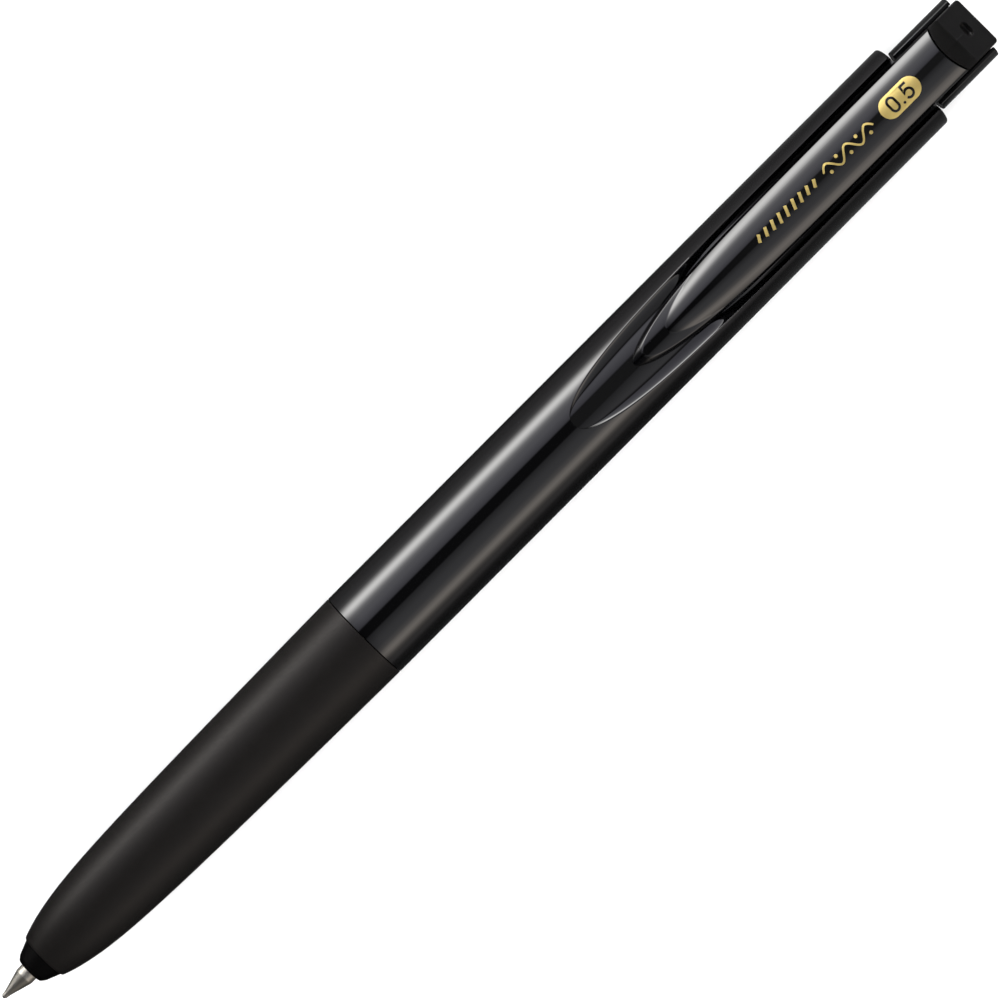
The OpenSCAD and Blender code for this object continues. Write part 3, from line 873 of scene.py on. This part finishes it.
def end_cap():
    def outline_half(z):
        past = max(0.0, z - (CAP_TOP_END - CAP_CORNER))
        return CAP_HALF - CAP_CORNER + math.sqrt(max(0.0, CAP_CORNER ** 2 - past * past))

    share = [0, 0.012, 0.024, 0.04, 0.07] + spread(0.1, 0.94, 40) + [1 - 0.05 * t for t in crowded(1, 0, 10)]
    share = sorted(set(round(s, 6) for s in share))
    across = [-s for s in reversed(share[1:])] + share

    def row(z):
        return [(z, s * outline_half(z)) for s in across]

    ramp = []
    for t in spread(0, 1, 16):
        ramp.append([(lerp(clip_rear(s * CAP_HALF) + CAP_GAP, 136.3, t), s * CAP_HALF) for s in across])
    rest = [row(z) for z in spread(136.35, 136.95, 16) + spread(137.0, 139.0, 34)]
    rest += [row(z) for z in spread(139.05, CAP_TOP_END - 0.15, 8)]
    rest += [row(CAP_TOP_END - CAP_EDGE * (1 - math.sin(math.pi / 2 * k / 8))) for k in range(9)]
    cap = slab("thumb_cap", ramp + rest, cap_top, lambda z, y: CAP_LOW,
               draft=lambda z: CAP_DRAFT * clamp((z - 138) / (CAP_TOP_END - 138)))
    root = prism("cap_root", rounded([(-CAP_HALF, CAP_LOW + 0.01, 0.1), (CAP_HALF, CAP_LOW + 0.01, 0.1),
                                      (CAP_HALF, 2.28, 0.1), (-CAP_HALF, 2.28, 0.1)]),
                 [(CAP_FRONT, 0.0), (136.1, 0.0)])
    return united(cap, [root])


dress(push_tube(), GLOSS, "gloss_black", "push_unit", "push_tube")
dress(end_cap(), MATTE, "matte_black", "push_unit", "end_cap")


# ---- Gold foil on the clip: a size badge and a plain ornament ----

FOIL_LIFT, FOIL_SINK = 0.012, 0.03


def ribbon_outline(path, width):
    """The two sides of a stroke of even width along a path of points, as one closed outline."""
    left, right = [], []
    for i, point in enumerate(path):
        here = Vector(point)
        back = (here - Vector(path[i - 1])).normalized() if i > 0 else None
        ahead = (Vector(path[i + 1]) - here).normalized() if i < len(path) - 1 else None
        along = ((back or ahead) + (ahead or back)).normalized()
        across = Vector((-along.y, along.x))
        reach = width / 2 / max(0.5, along.dot(ahead or back))
        left.append(here + across * reach)
        right.append(here - across * reach)
    return left + right[::-1]


def ellipse(centre, half_a, half_b, count=40):
    return [Vector((centre[0] + half_a * math.cos(2 * math.pi * k / count),
                    centre[1] + half_b * math.sin(2 * math.pi * k / count))) for k in range(count)]


def stadium(centre, length, width, count=24):
    radius = width / 2
    points = []
    for side in (1, -1):
        for k in range(count + 1):
            angle = math.pi * (k / count - 0.5) + (0 if side == 1 else math.pi)
            points.append(Vector((centre[0] + side * (length / 2 - radius) + radius * math.cos(angle),
                                  centre[1] + radius * math.sin(angle))))
    return points


def stadium_upright(centre, width, height):
    return [Vector((centre[0] + p.y, centre[1] + p.x)) for p in stadium((0, 0), height, width)]


def arc(centre, radius_a, radius_b, start, end, count=16):
    angles = [math.radians(lerp(start, end, k / count)) for k in range(count + 1)]
    return [(centre[0] + radius_a * math.cos(a), centre[1] + radius_b * math.sin(a)) for a in angles]


def foil(name, outlines):
    """Thin foil that follows the clip's crown. Outlines are in (z, upwards across); nested ones are holes."""
    flat = bpy.data.curves.new(name + "_flat", "CURVE")
    flat.dimensions = "2D"
    flat.fill_mode = "BOTH"
    for outline in outlines:
        spline = flat.splines.new("POLY")
        spline.points.add(len(outline) - 1)
        for point, (z, up) in zip(spline.points, outline):
            point.co = (z, up, 0, 1)
        spline.use_cyclic_u = True
    holder = bpy.data.objects.new(name + "_flat", flat)
    bpy.context.scene.collection.objects.link(holder)
    bpy.context.view_layer.update()
    mesh = bpy.data.meshes.new_from_object(holder.evaluated_get(bpy.context.evaluated_depsgraph_get()))
    bpy.data.objects.remove(holder)
    bm = bmesh.new()
    bm.from_mesh(mesh)
    bmesh.ops.remove_doubles(bm, verts=bm.verts, dist=1e-4)
    for k in range(-14, 15):
        everything = bm.verts[:] + bm.edges[:] + bm.faces[:]
        bmesh.ops.bisect_plane(bm, geom=everything, plane_co=(0, 0.1 * k, 0), plane_no=(0, 1, 0))
    base = bm.faces[:]
    raised = bmesh.ops.extrude_face_region(bm, geom=base)["geom"]
    lifted = set(v for v in raised if isinstance(v, bmesh.types.BMVert))
    bmesh.ops.delete(bm, geom=[f for f in base if f.is_valid], context="FACES_KEEP_BOUNDARY")
    for v in bm.verts:
        z, y = v.co.x, v.co.y
        v.co = place(z, y, clip_face(z, y) + (FOIL_LIFT if v in lifted else -FOIL_SINK))
    return finished(name, bm, crease=50)


BADGE_CENTRE, BADGE_LENGTH, BADGE_WIDTH = 128.4, 5.1, 2.46
STROKE = 0.27


def badge():
    """A pill with the ball's size knocked out of it."""
    z0 = BADGE_CENTRE
    digit_h, digit_w = 1.8, 1.14
    zero = z0 - 0.98
    five = z0 + 1.02
    nought = [stadium_upright((zero, 0), digit_w, digit_h),
              stadium_upright((zero, 0), digit_w - 2 * STROKE, digit_h - 2 * STROKE)]
    dot = ellipse((z0 + 0.02, -digit_h / 2 + 0.2), 0.15, 0.15, 16)
    left, right, up, down = five - 0.42, five + 0.42, digit_h / 2 - STROKE / 2, -digit_h / 2 + STROKE / 2
    bowl = arc((five - 0.03, down + 0.48), 0.48, 0.48, 142, -152)
    stroke = [(right - 0.02, up), (left + 0.09, up), (left, 0.0)] + bowl
    return foil("size_badge", [stadium((z0, 0), BADGE_LENGTH, BADGE_WIDTH), *nought, dot,
                               ribbon_outline(stroke, STROKE)])


def ornament():
    """A row of slanted bars, then a wave with a bead in each of its bays."""
    outlines = []
    for k in range(9):
        z = 108.4 + k * 0.98
        tall = 0.38 + 0.16 * math.sin(math.pi * k / 8)
        outlines.append(ribbon_outline([(z - 0.22, -tall), (z + 0.22, tall)], 0.34))
    wave = [(lerp(117.6, 124.6, t), 0.62 * math.sin(2 * math.pi * 2.5 * t)) for t in spread(0, 1, 120)]
    outlines.append(ribbon_outline(wave, 0.22))
    for k in range(5):
        outlines.append(ellipse((118.3 + 1.4 * k, -0.42 if k % 2 == 0 else 0.42), 0.2, 0.2, 20))
    return foil("foil_ornament", outlines)


for piece in (badge(), ornament()):
    dress(piece, FOIL, "gold_foil", "clip_arm")


# ---- The pieces kept as the CAD has them, with their own materials ----

KEPT = {"cam_guide": GUIDE, "rotor": WHITE, "plunger": GUIDE, "tip_ball": CARBIDE}
for node, skin in KEPT.items():
    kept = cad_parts[node]
    kept.data.materials.clear()
    kept.data.materials.append(skin)


# ---- Studio: a pale floor, and a plain sky of soft lights that runs along the pen ----

def floor():
    bm = bmesh.new()
    reach = 12.0
    corners = [(-reach, -reach), (reach, -reach), (reach, reach), (-reach, reach)]
    bm.faces.new([bm.verts.new((x, y, 0)) for x, y in corners])
    plane = finished("floor", bm)
    pale = material("floor_pale", (0.92, 0.92, 0.92), 0.8, tint=0.01)
    plane.data.materials.append(pale)
    plane.visible_glossy = False    # the sky below the horizon stands in for it in the gloss


# Each soft light: its angle from straight up in degrees (positive towards +Y), its width, radiance, colour
SOFT_LIGHTS = [
    (67.5, 11.5, 12.5, (1.00, 0.99, 0.97)),
    (50, 22, 1.7, (0.98, 0.98, 1.04)),
    (25, 18, 0.8, (0.95, 0.94, 1.12)),
    (95, 22, 0.45, (1.00, 0.97, 1.00)),
    (-66, 12, 2.5, (1.08, 0.98, 0.88)),
    (-38, 28, 0.75, (0.98, 0.98, 1.04)),
    (-92, 10, 0.4, (1.00, 0.95, 0.95)),
]
OPENING = (-9.5, 15.0)   # the dark opening above the pen, between these angles
AMBIENT = 0.045
PEAK = 14.0
DOME = 2.0               # even light on everything matt


def radiance(angle):
    light = [AMBIENT] * 3
    open_edge = clamp(max(angle - OPENING[1], OPENING[0] - angle) / 3 + 0.5)
    for centre, width, strength, colour in SOFT_LIGHTS:
        share = strength * math.exp(-((angle - centre) / width) ** 2) * open_edge
        light = [a + share * c for a, c in zip(light, colour)]
    return light


def sky():
    """A world whose reflections are long soft lights beside the pen, and whose matt light is even."""
    world = bpy.data.worlds.new("studio")
    bpy.context.scene.world = world
    world.use_nodes = True
    nodes, links = world.node_tree.nodes, world.node_tree.links
    nodes.clear()
    where = nodes.new("ShaderNodeTexCoord")
    parts = nodes.new("ShaderNodeSeparateXYZ")
    links.new(where.outputs["Generated"], parts.inputs["Vector"])
    turn = nodes.new("ShaderNodeMath")
    turn.operation = "ARCTAN2"
    links.new(parts.outputs["Y"], turn.inputs[0])
    links.new(parts.outputs["Z"], turn.inputs[1])
    share = nodes.new("ShaderNodeMapRange")
    share.inputs["From Min"].default_value = -math.pi
    share.inputs["From Max"].default_value = math.pi
    links.new(turn.outputs["Value"], share.inputs["Value"])
    ramp = nodes.new("ShaderNodeValToRGB")
    angles = [-150, -120, -105, -95, -86, -79, -73, -66, -59, -52, -42, -28, -15, -11, -8,
              13.5, 16.5, 22, 32, 42, 49, 54, 59, 63, 67.5, 72, 77, 82, 88, 97, 115, 145]
    stops = ramp.color_ramp.elements
    while len(stops) < len(angles):
        stops.new(0.5)
    for stop, angle in zip(stops, angles):
        stop.position = (angle + 180) / 360
        stop.color = [c / PEAK for c in radiance(angle)] + [1]
    links.new(share.outputs["Result"], ramp.inputs["Fac"])

    def fade(start, end, low, high):
        """A soft step along the pen's direction."""
        step = nodes.new("ShaderNodeMapRange")
        step.interpolation_type = "SMOOTHSTEP"
        for socket, value in (("From Min", start), ("From Max", end), ("To Min", low), ("To Max", high)):
            step.inputs[socket].default_value = value
        links.new(parts.outputs["X"], step.inputs["Value"])
        return step.outputs["Result"]

    # The soft lights end sooner beyond the point than beyond the push end
    both = nodes.new("ShaderNodeMath")
    both.operation = "MULTIPLY"
    links.new(fade(-0.5, -0.08, 0.07, 1.0), both.inputs[0])
    links.new(fade(0.35, 0.75, 1.0, 0.05), both.inputs[1])
    lit = nodes.new("ShaderNodeVectorMath")
    lit.operation = "SCALE"
    links.new(ramp.outputs["Color"], lit.inputs[0])
    links.new(both.outputs["Value"], lit.inputs["Scale"])
    filled = nodes.new("ShaderNodeVectorMath")
    filled.operation = "MAXIMUM"
    links.new(lit.outputs["Vector"], filled.inputs[0])
    links.new(fade(0.0, 0.09, 0.0, 0.17 / PEAK), filled.inputs[1])
    studio = nodes.new("ShaderNodeBackground")
    studio.inputs["Strength"].default_value = PEAK
    links.new(filled.outputs["Vector"], studio.inputs["Color"])
    path = nodes.new("ShaderNodeLightPath")
    shader = studio.outputs["Background"]
    for ray, strength in (("Is Diffuse Ray", DOME), ("Is Camera Ray", 1.0)):
        even = nodes.new("ShaderNodeBackground")
        even.inputs["Color"].default_value = (1, 1, 1, 1)
        even.inputs["Strength"].default_value = strength
        choose = nodes.new("ShaderNodeMixShader")
        links.new(path.outputs[ray], choose.inputs["Fac"])
        links.new(shader, choose.inputs[1])
        links.new(even.outputs["Background"], choose.inputs[2])
        shader = choose.outputs["Shader"]
    out = nodes.new("ShaderNodeOutputWorld")
    links.new(shader, out.inputs["Surface"])
    world.cycles.sampling_method = "NONE"


def camera():
    lens = bpy.data.cameras.new("camera")
    lens.lens = 200
    lens.clip_start, lens.clip_end = 0.01, 50
    viewer = bpy.data.objects.new("camera", lens)
    bpy.context.scene.collection.objects.link(viewer)
    frame_width = 0.1014            # metres across the picture at the pen's axis
    distance = frame_width * lens.lens / lens.sensor_width
    turn, lean = math.radians(45.1), math.radians(0.5)
    target = Vector((0.0014, -0.00008, AXIS_Z))
    back = Vector((math.sin(lean), 0, math.cos(lean)))
    right = Vector((math.cos(turn), -math.sin(turn), 0))
    right = (right - back * right.dot(back)).normalized()
    up = back.cross(right)
    facing = Matrix((right, up, back)).transposed().to_4x4()
    viewer.matrix_world = Matrix.Translation(target + back * distance) @ facing
    bpy.context.scene.camera = viewer


floor()
sky()
camera()
bpy.context.scene.view_settings.view_transform = "Standard"
